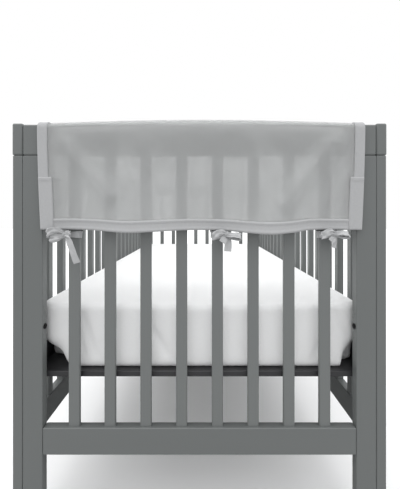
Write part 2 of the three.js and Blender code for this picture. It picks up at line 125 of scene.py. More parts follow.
studio = bpy.data.worlds.new("studio")
studio.use_nodes = True
bpy.context.scene.world = studio
tree = studio.node_tree
seen = tree.nodes.new("ShaderNodeBackground")
fill_in(tree, seen, Color=(1, 1, 1, 1), Strength=WHITE_SWEEP)
lit = tree.nodes["Background"]
fill_in(tree, lit, Color=ROUND_LIGHT_COLOUR, Strength=ROUND_LIGHT)
path = tree.nodes.new("ShaderNodeLightPath")
either = tree.nodes.new("ShaderNodeMixShader")
fill_in(tree, either, Fac=path.outputs["Is Camera Ray"])
tree.links.new(lit.outputs["Background"], either.inputs[1])
tree.links.new(seen.outputs["Background"], either.inputs[2])
fill_in(tree, tree.nodes["World Output"], Surface=either.outputs["Shader"])

for light in SOFT_LIGHTS:
    lamp = bpy.data.lights.new(light["name"], "SUN")
    lamp.energy = light["power"]
    lamp.angle = SOFT_LIGHT_WIDTH
    stand = put_in(light["name"], lamp)
    stand.rotation_euler = (math.radians(light["tilt"]), math.radians(light["lean"]), 0)

pale_floor, tree, shader = new_finish("pale_floor")
path = tree.nodes.new("ShaderNodeLightPath")
blend_colours(tree, shader, path.outputs["Is Camera Ray"], FLOOR_THROWN, FLOOR_SEEN)
fill_in(tree, shader, Roughness=FLOOR_ROUGHNESS)
shape = bmesh.new()
bmesh.ops.create_grid(shape, x_segments=1, y_segments=1, size=FLOOR_REACH)
floor_mesh = bpy.data.meshes.new("floor")
shape.to_mesh(floor_mesh)
shape.free()
floor_mesh.materials.append(pale_floor)
floor = put_in("floor", floor_mesh)

# Every rail, post and slat is planed wood with eased edges, sprayed with a satin grey paint that
# lets a little of the grain stand through. The grain runs along each piece. The slats share that
# paint, but are coloured a shade lighter than the rails and posts as painted light.
PAINT = (0.143, 0.151, 0.149, 1)
PAINT_THIN = (0.132, 0.140, 0.138, 1)
# The slats' lighter colours are painted light, not a lighter paint.
SLAT_PAINT_LIT = (0.160, 0.168, 0.166, 1)
SLAT_PAINT_LIT_THIN = (0.148, 0.156, 0.154, 1)
PAINT_ROUGHNESS = 0.42
PAINT_BUMP = 0.35
PAINT_RELIEF = 0.25 * MM
GRAIN_STRETCH = 14
GRAIN_SCALE = 22
PORE_SCALE = 130
PEEL_SCALE = 420
CLOUD_SCALE = 7
TOP_RAIL_EASING = 3.6 * MM
EDGE_EASING = 2 * MM
TENON = 2 * MM
EASING_STEPS = 4
FLAT_FACE = 0.999
ENDS = ("front", "back")
SIDES = ("left", "right")


def new_group(name, vectors, values, outputs):
    group = bpy.data.node_groups.new(name, "ShaderNodeTree")
    for label in vectors:
        group.interface.new_socket(label, in_out="INPUT", socket_type="NodeSocketVector")
    for label, value in values.items():
        socket = group.interface.new_socket(label, in_out="INPUT", socket_type="NodeSocketFloat")
        socket.default_value = value
    for label in outputs:
        group.interface.new_socket(label, in_out="OUTPUT", socket_type="NodeSocketFloat")
    return group, group.nodes.new("NodeGroupInput"), group.nodes.new("NodeGroupOutput")


def noise_in(group, vector, scale, detail=3, distortion=0.0):
    noise = group.nodes.new("ShaderNodeTexNoise")
    fill_in(group, noise, Vector=vector, Scale=scale, Detail=detail, Distortion=distortion)
    return noise.outputs["Fac"]


def sum_in(group, first, second, operation="ADD"):
    node = group.nodes.new("ShaderNodeMath")
    node.operation = operation
    for socket, value in ((node.inputs[0], first), (node.inputs[1], second)):
        if isinstance(value, (int, float)):
            socket.default_value = value
        else:
            group.links.new(value, socket)
    return node.outputs[0]


def times_in(group, first, second):
    return sum_in(group, first, second, "MULTIPLY")


# The spray's fine orange peel over long, faint lines of grain.
paint_over_grain, given, put_out = new_group(
    "paint_over_grain", ["Grain Vector", "Place"], {}, ["Thinness", "Height", "Roughness"]
)
grain_way = given.outputs["Grain Vector"]
grain = noise_in(paint_over_grain, grain_way, GRAIN_SCALE, detail=5, distortion=0.6)
pores = noise_in(paint_over_grain, grain_way, PORE_SCALE, detail=2)
peel = noise_in(paint_over_grain, given.outputs["Place"], PEEL_SCALE, detail=1)
clouds = noise_in(paint_over_grain, given.outputs["Place"], CLOUD_SCALE, detail=2)
lines = times_in(paint_over_grain, grain, 0.55)
height = sum_in(paint_over_grain, lines, times_in(paint_over_grain, pores, 0.3))
height = sum_in(paint_over_grain, height, times_in(paint_over_grain, peel, 0.25))
lines = times_in(paint_over_grain, grain, 0.6)
thin = sum_in(paint_over_grain, lines, times_in(paint_over_grain, clouds, 0.5))
shine = times_in(paint_over_grain, clouds, 0.16)
shine = sum_in(paint_over_grain, shine, PAINT_ROUGHNESS - 0.08)
fill_in(paint_over_grain, put_out, Thinness=thin, Height=height, Roughness=shine)


def on_object(tree):
    return tree.nodes.new("ShaderNodeTexCoord").outputs["Object"]


def place_group(tree, group, **sources):
    node = tree.nodes.new("ShaderNodeGroup")
    node.node_tree = group
    fill_in(tree, node, **sources)
    return node


def bump_from(tree, shader, height, strength, distance):
    bump = tree.nodes.new("ShaderNodeBump")
    fill_in(tree, bump, Strength=strength, Distance=distance, Height=height)
    fill_in(tree, shader, Normal=bump.outputs["Normal"])


def paint_along(axis, name, paint, paint_thin):
    finish, tree, shader = new_finish(name)
    where = on_object(tree)
    stretch = tree.nodes.new("ShaderNodeMapping")
    scale = tuple(1 / GRAIN_STRETCH if i == axis else 1 for i in range(3))
    fill_in(tree, stretch, Scale=scale, Vector=where)
    coat = place_group(tree, paint_over_grain, Grain_Vector=stretch.outputs["Vector"], Place=where)
    blend_colours(tree, shader, coat.outputs["Thinness"], paint, paint_thin)
    fill_in(tree, shader, Roughness=coat.outputs["Roughness"])
    bump_from(tree, shader, coat.outputs["Height"], PAINT_BUMP, PAINT_RELIEF)
    return finish


painted_wood = [
    paint_along(axis, f"painted_wood_{way}", PAINT, PAINT_THIN)
    for axis, way in enumerate(("across", "lengthwise", "upright"))
]
# A lighter copy of the paint for the slats: painted light.
slat_paint_lit = paint_along(2, "slat_paint_lit", SLAT_PAINT_LIT, SLAT_PAINT_LIT_THIN)


def rounded_off(shape, edges, by, steps):
    return bmesh.ops.bevel(
        shape, geom=edges, offset=by, offset_type="OFFSET", segments=steps, profile=0.5,
        affect="EDGES", material=-1,
    )


def eased_bar(shape, low, high, easing, finish=0):
    """Adds one bar between two corners to a shape, with every edge rounded off."""
    size = high - low
    turn = Matrix.Translation((low + high) / 2) @ Matrix.Diagonal((*size, 1))
    made = bmesh.ops.create_cube(shape, size=1, matrix=turn)
    edges = list({e for v in made["verts"] for e in v.link_edges})
    rounded = rounded_off(shape, edges, easing, EASING_STEPS)
    corners = {v for v in rounded["verts"]} | {v for v in made["verts"] if v.is_valid}
    for face in {f for v in corners for f in v.link_faces}:
        face.material_index = finish
        face.smooth = max(abs(c) for c in face.normal) < FLAT_FACE


def fit_piece(name, shape, finishes, stands_for=()):
    """Makes a shape a piece of the crib or of its cover, in place."""
    mesh = bpy.data.meshes.new(name)
    shape.to_mesh(mesh)
    shape.free()
    for finish in finishes:
        mesh.materials.append(finish)
    made = put_in(name, mesh)
    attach(made, "root")
    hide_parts(*stands_for)
    return made


def longest(low, high):
    size = high - low
    return max(range(3), key=lambda axis: size[axis])


bars = [f"{piece}_{end}" for end in ENDS for piece in ("end_top_rail", "end_lower_rail")]
bars += [f"end_post_{end}_{side}" for end in ENDS for side in SIDES]
bars += [f"side_post_{side}_{end}" for end in ENDS for side in SIDES]
bars += [f"side_top_rail_{side}" for side in SIDES]
for node in bars:
    low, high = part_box(node)
    shape = bmesh.new()
    eased_bar(shape, low, high, TOP_RAIL_EASING if "top_rail" in node else EDGE_EASING)
    fit_piece(f"painted_{node}", shape, [painted_wood[longest(low, high)]], [node])

# Eight flat slats of the same wood stand between the two rails of each end. They are let into
# both rails, so each is a little longer than what shows.
END_SLATS = 8
sunk = Vector((0, 0, TENON))
for end in ENDS:
    for i in range(1, END_SLATS + 1):
        node = f"end_slat_{end}_{i}"
        low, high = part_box(node)
        shape = bmesh.new()
        eased_bar(shape, low - sunk, high + sunk, EDGE_EASING)
        fit_piece(f"painted_{node}", shape, [slat_paint_lit], [node])

# Each long side below its top rail is a comb of the same wood: a lower rail with seventeen slats
# let into it and into the top rail.
SIDE_SLATS = 17
SIDE_SLAT_WIDE = 20 * MM
SIDE_SLAT_THICK = 16 * MM
SIDE_RAIL_HIGH = 55 * MM
for side in SIDES:
    node = f"side_slats_{side}"
    low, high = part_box(node)
    middle = (low.x + high.x) / 2
    rail_top = low.z + SIDE_RAIL_HIGH
    gap = (high.y - low.y - SIDE_SLATS * SIDE_SLAT_WIDE) / (SIDE_SLATS + 1)
    shape = bmesh.new()
    eased_bar(shape, low, Vector((high.x, high.y, rail_top)), EDGE_EASING)
    for i in range(SIDE_SLATS):
        start = low.y + gap + i * (gap + SIDE_SLAT_WIDE)
        foot = Vector((middle - SIDE_SLAT_THICK / 2, start, rail_top - 2 * TENON))
        head = Vector((middle + SIDE_SLAT_THICK / 2, start + SIDE_SLAT_WIDE, high.z + TENON))
        eased_bar(shape, foot, head, EDGE_EASING, finish=1)
    fit_piece(f"painted_{node}", shape, [painted_wood[1], slat_paint_lit], [node])

# Bolts that hold the mattress board's hangers, one on the inner side of each end post: a black
# socket head, a little proud of the wood.
BOLT_HEIGHT = 450 * MM
BOLT_RADIUS = 5.5 * MM
BOLT_PROUD = 2.2 * MM
SOCKET_RADIUS = 2.9 * MM
SOCKET_DEEP = 1.6 * MM
HEAD_EASING = 0.6 * MM
BLACKENED = (0.012, 0.012, 0.013, 1)
STEEL_BUMP = 0.2
STEEL_RELIEF = 0.05 * MM
SCUFF_SCALE = 600
BOLT_SIDES = 24

blackened, tree, shader = new_finish("blackened_steel")
scuff = noise_in(tree, on_object(tree), SCUFF_SCALE, detail=2)
dull = sum_in(tree, times_in(tree, scuff, 0.3), 0.28)
fill_in(tree, shader, Base_Color=BLACKENED, Metallic=0.8, Roughness=dull)
bump_from(tree, shader, scuff, STEEL_BUMP, STEEL_RELIEF)


def outer_face(shape):
    return max(shape.faces, key=lambda f: f.calc_center_median().z)


for end in ENDS:
    for side, way in (("left", 1), ("right", -1)):
        low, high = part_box(f"end_post_{end}_{side}")
        face = high.x if side == "left" else low.x
        seat = Matrix.Translation((face + way * BOLT_PROUD / 2, (low.y + high.y) / 2, BOLT_HEIGHT))
        turn = Matrix.Rotation(way * math.pi / 2, 4, "Y")
        shape = bmesh.new()
        bmesh.ops.create_cone(
            shape, cap_ends=True, segments=BOLT_SIDES, radius1=BOLT_RADIUS,
            radius2=BOLT_RADIUS, depth=BOLT_PROUD,
        )
        rounded_off(shape, list(outer_face(shape).edges), HEAD_EASING, 2)
        outer = outer_face(shape)
        land = BOLT_RADIUS - SOCKET_RADIUS - HEAD_EASING
        bmesh.ops.inset_individual(shape, faces=[outer], thickness=land)
        bmesh.ops.translate(shape, verts=outer.verts, vec=(0, 0, -SOCKET_DEEP))
        for face_of_head in shape.faces:
            face_of_head.smooth = abs(face_of_head.normal.z) < 0.9
        bmesh.ops.transform(shape, matrix=seat @ turn, verts=shape.verts)
        fit_piece(f"hanger_bolt_{end}_{side}", shape, [blackened])

# The board that carries the mattress is plywood with eased edges, coloured nearly black. It lies
# on steel angles between the two long sides.
NEAR_BLACK = (0.03, 0.03, 0.032, 1)
NEAR_BLACK_THIN = (0.022, 0.022, 0.024, 1)
board_low, board_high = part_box("mattress_support")
shape = bmesh.new()
eased_bar(shape, board_low, board_high, EDGE_EASING)
dark_board = paint_along(1, "dark_board", NEAR_BLACK, NEAR_BLACK_THIN)
fit_piece("painted_mattress_support", shape, [dark_board], ["mattress_support"])

# A steel angle at each corner of the board, coloured nearly black like it, keeps the mattress off
# the slats: an upright plate beside the board and a flange turned in under it.
ANGLE_THICK = 2.5 * MM
ANGLE_LONG = 105 * MM
ANGLE_RISE = 52 * MM
ANGLE_FLANGE = 34 * MM
ANGLE_FROM_END = 8 * MM
ANGLE_BESIDE_BOARD = 0.5 * MM
ANGLE_UNDER_BOARD = 0.2 * MM
ANGLE_EASING = 0.6 * MM
ANGLE_STARTS = {
    "front": board_low.y + ANGLE_FROM_END,
    "back": board_high.y - ANGLE_FROM_END - ANGLE_LONG,
}
beside = board_high.x + ANGLE_BESIDE_BOARD
plate = (beside, beside + ANGLE_THICK, board_high.z + ANGLE_RISE)
flange = (beside + ANGLE_THICK / 2, beside - ANGLE_FLANGE, board_low.z - ANGLE_UNDER_BOARD)
steel_angle = paint_along(2, "near_black_angle", NEAR_BLACK, NEAR_BLACK_THIN)
for end, start in ANGLE_STARTS.items():
    for side, way in (("left", -1), ("right", 1)):
        shape = bmesh.new()
        for first, second, top in (plate, flange):
            near, far = sorted((way * first, way * second))
            foot = Vector((near, start, board_low.z - ANGLE_THICK))
            eased_bar(shape, foot, Vector((far, start + ANGLE_LONG, top)), ANGLE_EASING)
        fit_piece(f"board_angle_{end}_{side}", shape, [steel_angle])

# The mattress is a foam block in a white cotton fitted sheet. Its two ends roll down softly, and
# the sheet's elastic gathers it under the lower corners, over a shorter reach at the front right
# one, where the sheet is slack.
MATTRESS_PLAN_ROUNDING = 24 * MM
MATTRESS_RIM = 7 * MM
WALL_FROM = 0.9
WALL_BULGE = 1 * MM
WALL_BULGE_REACH = 60 * MM
END_ROLL = 11 * MM
END_ROLL_WIDE = 55 * MM
END_ROLL_EASED = 0.55
MATTRESS_VOXEL = 6 * MM
LEVEL = 1e-6
CORNER_TUCK = 42 * MM
CORNER_TUCK_REACH = 68 * MM
SLACK_CORNER_REACH = 42 * MM
CORNER_LIFT = 0.9
GATHER_DEEP = 0.12
GATHERS_A_DEGREE = 2.1
SHEET_WHITE = (0.9, 0.9, 0.898, 1)
SHEET_SHADE = (0.86, 0.86, 0.86, 1)
SHEET_THREADS = 1500
RUMPLE_SCALE = 9
RUMPLE_HEIGHT = 14.0
SHEET_BUMP = 0.5
SHEET_RELIEF = 0.3 * MM
SLUB_SCALE = 260

# A plain weave of round threads, one over one under, for any cloth whose threads run square.
plain_weave, given, put_out = new_group(
    "plain_weave", ["Vector"], {"Threads": SHEET_THREADS}, ["Height", "Shade"]
)
spread = plain_weave.nodes.new("ShaderNodeVectorMath")
spread.operation = "SCALE"
plain_weave.links.new(given.outputs["Vector"], spread.inputs[0])
fill_in(plain_weave, spread, Scale=given.outputs["Threads"])
parts = plain_weave.nodes.new("ShaderNodeSeparateXYZ")
fill_in(plain_weave, parts, Vector=spread.outputs["Vector"])
waves = [
    sum_in(plain_weave, times_in(plain_weave, parts.outputs[axis], math.pi), 0, "SINE")
    for axis in "XYZ"
]
over = sum_in(plain_weave, sum_in(plain_weave, waves[0], waves[1]), waves[2])
slubs = noise_in(plain_weave, given.outputs["Vector"], SLUB_SCALE, detail=3)
weave_height = sum_in(plain_weave, times_in(plain_weave, over, 0.25), slubs)
weave_shade = times_in(plain_weave, slubs, 0.9)
fill_in(plain_weave, put_out, Height=weave_height, Shade=weave_shade)

cotton_sheet, tree, shader = new_finish("cotton_sheet")
where = on_object(tree)
weave = place_group(tree, plain_weave, Vector=where, Threads=SHEET_THREADS)
blend_colours(tree, shader, weave.outputs["Shade"], SHEET_WHITE, SHEET_SHADE)
fill_in(tree, shader, Roughness=0.88, Sheen_Weight=0.15)
rumple = noise_in(tree, where, RUMPLE_SCALE, detail=3, distortion=0.4)
soft_height = sum_in(tree, times_in(tree, rumple, RUMPLE_HEIGHT), weave.outputs["Height"])
bump_from(tree, shader, soft_height, SHEET_BUMP, SHEET_RELIEF)


def climb(edge):
    return abs(edge.verts[0].co.z - edge.verts[1].co.z)


def as_arrays(mesh):
    points = np.empty(len(mesh.vertices) * 3)
    mesh.vertices.foreach_get("co", points)
    return points.reshape(-1, 3)


def settle(made, points):
    made.data.vertices.foreach_set("co", np.ascontiguousarray(points).ravel())
    made.data.update()


def apply_modifiers(made):
    bpy.context.view_layer.update()
    ready = made.evaluated_get(bpy.context.evaluated_depsgraph_get())
    flat = bpy.data.meshes.new_from_object(ready)
    made.modifiers.clear()
    made.data = flat


low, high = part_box("mattress")
shape = bmesh.new()
place = Matrix.Translation((low + high) / 2) @ Matrix.Diagonal((*(high - low), 1))
bmesh.ops.create_cube(shape, size=1, matrix=place)
upright_edges = [e for e in shape.edges if climb(e) > MATTRESS_RIM]
rounded_off(shape, upright_edges, MATTRESS_PLAN_ROUNDING, 8)
level_edges = [e for e in shape.edges if climb(e) < LEVEL]
rounded_off(shape, level_edges, MATTRESS_RIM, 5)
mattress = fit_piece("mattress_in_sheet", shape, [cotton_sheet], ["mattress"])
even = mattress.modifiers.new("even", "REMESH")
even.mode = "VOXEL"
even.voxel_size = MATTRESS_VOXEL
even.use_smooth_shade = True
apply_modifiers(mattress)

# Creases of the sheet on its end and side walls: soft troughs, each drawn from one place to
# another on a wall. A place is how far along the wall it is, and how far up from the bottom.
SHEET_CREASES = [
    {"wall": "front", "from": (93, 110), "to": (126, 18), "deep": 5.2, "spread": 6.5},
    {"wall": "front", "from": (74, 92), "to": (104, 14), "deep": 4.0, "spread": 7},
    {"wall": "front", "from": (241, 86), "to": (275, 20), "deep": 4.2, "spread": 5},
    {"wall": "front", "from": (250, 80), "to": (285, 18), "deep": 3.4, "spread": 5},
    {"wall": "front", "from": (432, 48), "to": (446, 16), "deep": 2.4, "spread": 6},
    {"wall": "front", "from": (640, 120), "to": (668, 62), "deep": 3.2, "spread": 6},
    {"wall": "front", "from": (618, 74), "to": (588, 14), "deep": 4.0, "spread": 7},
    {"wall": "back", "from": (70, 96), "to": (124, 18), "deep": 3.0, "spread": 8},
    {"wall": "back", "from": (610, 94), "to": (560, 20), "deep": 2.8, "spread": 8},
    {"wall": "left", "from": (70, 96), "to": (130, 16), "deep": 3.0, "spread": 8},
    {"wall": "left", "from": (1240, 94), "to": (1180, 18), "deep": 3.0, "spread": 8},
    {"wall": "right", "from": (68, 92), "to": (126, 18), "deep": 3.0, "spread": 8},
    {"wall": "right", "from": (1244, 98), "to": (1186, 16), "deep": 3.0, "spread": 8},
]
WALLS = {"front": (0, 1, -1), "back": (0, 1, 1), "left": (1, 0, -1), "right": (1, 0, 1)}


def by_the_line(row, first, second):
    """How far on along a row's line a place is, and how near to it, each from 0 to 1."""
    start, end = row["from"], row["to"]
    run, rise = end[0] - start[0], end[1] - start[1]
    t = ((first - start[0]) * run + (second - start[1]) * rise) / (run * run + rise * rise)
    t = np.clip(t, 0, 1)
    away = np.hypot(first - start[0] - t * run, second - start[1] - t * rise)
    return t, np.exp(-((away / row["spread"]) ** 2))


points = as_arrays(mattress.data)
centre = np.array((low + high) / 2)
half = np.array((high - low) / 2)
share = (points - centre) / half
side_way = np.clip(np.abs(share[:, :2]), 0, 1)
upper = np.clip(share[:, 2], -1, 1)
bulge = 1 - upper**2
for axis in (0, 1):
    wall_part = np.clip((side_way[:, axis] - WALL_FROM) / (1 - WALL_FROM), 0, 1)
    reach = np.clip((1 - side_way[:, 1 - axis]) * half[1 - axis] / WALL_BULGE_REACH, 0, 1)
    points[:, axis] -= np.sign(share[:, axis]) * wall_part * (1 - bulge * reach) * WALL_BULGE
to_end = half[1] - np.abs(points[:, 1] - centre[1])
crown = 1 - END_ROLL_EASED * side_way[:, 0] ** 2
rolled = np.clip(1 - to_end / END_ROLL_WIDE, 0, 1) ** 2 * crown
points[:, 2] -= END_ROLL * rolled * np.clip((upper - 0.2) / 0.8, 0, 1)
for crease in SHEET_CREASES:
    run, out, sign = WALLS[crease["wall"]]
    here = (points[:, run] - low[run]) / MM
    up = (points[:, 2] - low.z) / MM
    t, near = by_the_line(crease, here, up)
    on_wall = np.clip((sign * share[:, out] - 0.93) / 0.05, 0, 1)
    depth = crease["deep"] * MM * near * np.sin(np.pi * (0.15 + 0.85 * t)) ** 0.5
    points[:, out] -= sign * depth * on_wall
to_corner = np.hypot(
    np.maximum(half[0] - np.abs(points[:, 0] - centre[0]), 0),
    np.maximum(half[1] - np.abs(points[:, 1] - centre[1]), 0),
)
slack_corner = (share[:, 0] > 0) & (share[:, 1] < 0)
corner_reach = np.where(slack_corner, SLACK_CORNER_REACH, CORNER_TUCK_REACH)
below = np.clip((-upper - 0.1) / 0.9, 0, 1) ** 1.1
tucked = np.clip(1 - to_corner / corner_reach, 0, 1) ** 1.2 * below
turn = np.arctan2(share[:, 1] * half[1], share[:, 0] * half[0])
gather = 1 + GATHER_DEEP * np.sin(np.degrees(turn) * GATHERS_A_DEGREE) * np.clip(-upper, 0, 1)
for axis in (0, 1):
    points[:, axis] -= np.sign(share[:, axis]) * tucked * gather * CORNER_TUCK
points[:, 2] += tucked * CORNER_TUCK * CORNER_LIFT * np.clip(-upper, 0, 1)
settle(mattress, points)

# The cover's cloth in its own sizes, in millimetres. It lies over the rail, turns down on both
# sides with a soft bend, stands full just below it, and its hem swings out between the ties.
# "across" and "q" are places on the flat cloth, q along it and negative to the front.
COVER_WIDE = 664
COVER_TO_RIGHT = 3.4
COVER_DROP = 215
RAIL_CLEARANCE = 4.5
RIDGE_RADIUS = 13
RIDGE_LIFT = 6.4
SHOULDER = 6.5
SHOULDER_RISE = 12
SHOULDER_REACH = 60
PUFF_REACH = 40
FREE_FROM_FACING = 45
FREE_BELOW_BEND = 30
HEM_NARROWING = 0.025
HEM_WIDE = 22
BINDING_WIDE = 20.5
FACING_WIDE = 27
FACING_TAPE_WIDE = 29
FACING_DROP = 108
INNER = COVER_WIDE / 2 - FACING_WIDE

rail_thick = (end_rail_high.y - end_rail_low.y) / MM
RAIL_PLANE = (end_rail_high.y + end_rail_low.y) / 2
RAIL_TOP = end_rail_high.z
COVER_PLACE = np.array((COVER_TO_RIGHT * MM, RAIL_PLANE, RAIL_TOP))
RIDGE_FLAT = rail_thick / 2 + RAIL_CLEARANCE - RIDGE_RADIUS
RIDGE_ARC = RIDGE_RADIUS * math.pi / 2
FALL = COVER_DROP + RAIL_CLEARANCE - RIDGE_RADIUS
HALF_LONG = RIDGE_FLAT + RIDGE_ARC + FALL
SEAM_AT = RIDGE_FLAT + RIDGE_ARC + FACING_DROP - RIDGE_RADIUS + RAIL_CLEARANCE

# Each row is a place across the hem, how far the hem stands out there and how far it sags.
OUT = 1
SAG = 2
FRONT_HEM = [
    (-334, 4, 0),
    (-272, 1, -1),
    (-226, 5, 0),
    (-155, 15, 5),
    (-104, 13, 3.5),
    (-22, 4, 0),
    (49, 1.5, 1.5),
    (95, 10, 5.5),
    (140, 18, 8),
    (186, 13, 5),
    (222, 5, 0),
    (265, 1, -0.5),
    (334, 4, 0.5),
]
BACK_HEM = [
    (-334, 4, 0),
    (-225, 1, 0),
    (-150, 12, 4),
    (-72, 9, 3),
    (0, 1, 0),
    (115, 14, 5),
    (220, 1, 0),
    (334, 4, 0),
]
# Soft ridges, and troughs where "rise" is negative, from one place to another. A place is how far
# across the cloth it is, and how far below the rail's top.
FRONT_FOLDS = [
    {"from": (-291, 22), "to": (-188, 143), "rise": 7, "spread": 18},
    {"from": (280, 22), "to": (169, 158), "rise": 7, "spread": 19},
    {"from": (-120, 215), "to": (-150, 70), "rise": 2.5, "spread": 20},
    {"from": (140, 215), "to": (120, 80), "rise": 2.5, "spread": 20},
    {"from": (-112, 42), "to": (-94, 70), "rise": 2.5, "spread": 20},
    {"from": (112, 36), "to": (124, 62), "rise": 2.5, "spread": 20},
    {"from": (-190, 52), "to": (-172, 78), "rise": -1.6, "spread": 18},
    {"from": (5, 62), "to": (72, 74), "rise": -1.6, "spread": 18},
    {"from": (160, 56), "to": (176, 84), "rise": -1.6, "spread": 18},
]
BACK_FOLDS = [
    {"from": (-290, 15), "to": (-200, 160), "rise": 4, "spread": 18},
    {"from": (285, 15), "to": (190, 160), "rise": 4, "spread": 18},
]


def along(rows, column, x):
    """A smooth curve through one column of a hem's table."""
    at = np.array([row[0] for row in rows], float)
    value = np.array([row[column] for row in rows], float)
    slope = np.empty_like(value)
    slope[1:-1] = (value[2:] - value[:-2]) / (at[2:] - at[:-2])
    slope[0] = (value[1] - value[0]) / (at[1] - at[0])
    slope[-1] = (value[-1] - value[-2]) / (at[-1] - at[-2])
    x = np.clip(x, at[0], at[-1])
    i = np.clip(np.searchsorted(at, x, side="right") - 1, 0, len(at) - 2)
    span = at[i + 1] - at[i]
    t = (x - at[i]) / span
    return (
        value[i] * (1 + 2 * t) * (1 - t) ** 2
        + slope[i] * span * t * (1 - t) ** 2
        + value[i + 1] * t * t * (3 - 2 * t)
        + slope[i + 1] * span * t * t * (t - 1)
    )


def hanging(across, q, front):
    """Where a place on the flat cloth hangs, in the rail's own frame, in millimetres."""
    s = np.abs(q)
    arc = np.clip(s - RIDGE_FLAT, 0, RIDGE_ARC) / RIDGE_RADIUS
    fall = np.maximum(s - RIDGE_FLAT - RIDGE_ARC, 0)
    share = fall / FALL
    drop = fall + RIDGE_RADIUS - RAIL_CLEARANCE
    x = np.clip(across, -INNER, INNER)
    rows, folds = (FRONT_HEM, FRONT_FOLDS) if front else (BACK_HEM, BACK_FOLDS)
    ridges = sum(row["rise"] * by_the_line(row, x, drop)[1] for row in folds)
    inner = np.minimum(1, (INNER - np.abs(x)) / FREE_FROM_FACING)
    free = inner * np.minimum(1, fall / FREE_BELOW_BEND)
    shoulder = SHOULDER * (1 - np.exp(-fall / SHOULDER_RISE)) * np.exp(-fall / SHOULDER_REACH)
    out = along(rows, OUT, x) * share**1.5 + ridges * free + shoulder * inner
    sag = along(rows, SAG, x) * share**2
    puff = np.cos(np.pi * x / (2 * INNER)) * (1 - np.minimum(1, fall / PUFF_REACH))
    y = np.minimum(s, RIDGE_FLAT) + RIDGE_RADIUS * np.sin(arc) + out
    z = RAIL_CLEARANCE - RIDGE_RADIUS * (1 - np.cos(arc)) - fall - sag + RIDGE_LIFT * puff
    drawn_in = across * (1 - HEM_NARROWING * share**1.5)
    return np.stack([drawn_in, -y if front else y, z], axis=-1)


def surface(across, q):
    return np.where((q < 0)[..., None], hanging(across, q, True), hanging(across, q, False))


def draped(across, q, off):
    """The place "off" millimetres outside the cloth's middle, in the scene's own metres."""
    step = 0.5
    u = surface(across + step, q) - surface(across - step, q)
    v = surface(across, q + step) - surface(across, q - step)
    normal = np.cross(u, v)
    normal /= np.linalg.norm(normal, axis=-1, keepdims=True)
    at = (surface(across, q) + normal * off[..., None]) * MM
    return at + COVER_PLACE


# The mesh panel: one length of sheer warp-knitted polyester, cut 664 by 456 mm. Its holes are a
# millimetre and a half apart in a honeycomb, light glows through its threads, and two layers of
# it still let the slats show.
PANEL_COLUMNS = 190
PANEL_ROWS = 150
PANEL_THICK = 0.7 * MM
PANEL_INSET = 1.2
BEND_SHARE = 0.3
RIPPLE_HIGH = 0.35
RIPPLE_FROM = 190
SLACK_HIGH = 0.5
CALM_TO = 30
EASED_OVER = 40
KNIT_PITCH = 1.6 * MM
KNIT_BUMP = 0.2
KNIT_RELIEF = 0.2 * MM
HOLE_MIDDLE = 1.6
HOLE_EDGE = 0.1
STREAK_SCALE = 30
STREAK_COVER = 0.1
MESH_WHITE = (0.60, 0.608, 0.606, 1)
MESH_SHADE = (0.555, 0.563, 0.561, 1)
THREAD_COVER = 0.66
HOLE_COVER = 0.36
MESH_GLOW = 0.9
MESH_GLOW_DEPTH = 5.5 * MM

knit_holes, given, put_out = new_group(
    "knit_holes", ["Vector"], {"Pitch": KNIT_PITCH}, ["Cover", "Height"]
)
honeycomb = None
for degrees in (0, 60, 120):
    towards = knit_holes.nodes.new("ShaderNodeVectorMath")
    towards.operation = "DOT_PRODUCT"
    knit_holes.links.new(given.outputs["Vector"], towards.inputs[0])
    turn = math.radians(degrees)
    towards.inputs[1].default_value = (math.cos(turn), math.sin(turn), 0)
    turns = sum_in(knit_holes, towards.outputs["Value"], given.outputs["Pitch"], "DIVIDE")
    wave = sum_in(knit_holes, times_in(knit_holes, turns, 2 * math.pi), 0, "COSINE")
    honeycomb = wave if honeycomb is None else sum_in(knit_holes, honeycomb, wave)
narrow = knit_holes.nodes.new("ShaderNodeMapRange")
narrow.interpolation_type = "SMOOTHSTEP"
fill_in(knit_holes, narrow, Value=honeycomb, From_Min=HOLE_EDGE, From_Max=HOLE_MIDDLE)
thread = sum_in(knit_holes, 1, narrow.outputs["Result"], "SUBTRACT")
fill_in(knit_holes, put_out, Cover=thread, Height=thread)


def on_cloth(tree):
    flat = tree.nodes.new("ShaderNodeUVMap")
    flat.uv_map = "cloth"
    return flat.outputs["UV"]


sheer_mesh, tree, shader = new_finish("sheer_mesh")
where = on_cloth(tree)
knit = place_group(tree, knit_holes, Vector=where, Pitch=KNIT_PITCH)
spanned = tree.nodes.new("ShaderNodeMapRange")
fill_in(tree, spanned, Value=knit.outputs["Cover"], To_Min=HOLE_COVER, To_Max=THREAD_COVER)
streaks = noise_in(tree, where, STREAK_SCALE, detail=3)
uneven = times_in(tree, sum_in(tree, streaks, 0.5, "SUBTRACT"), STREAK_COVER)
covered = sum_in(tree, spanned.outputs["Result"], uneven)
blend_colours(tree, shader, streaks, MESH_WHITE, MESH_SHADE)
fill_in(
    tree, shader, Alpha=covered, Roughness=0.8, Specular_IOR_Level=0.15,
    Subsurface_Weight=MESH_GLOW, Subsurface_Radius=(1, 1, 1), Subsurface_Scale=MESH_GLOW_DEPTH,
)
bump_from(tree, shader, knit.outputs["Height"], KNIT_BUMP, KNIT_RELIEF)


def thicken(made, thick):
    body = made.modifiers.new("cloth_thickness", "SOLIDIFY")
    body.thickness = thick
    body.offset = 0
    return made


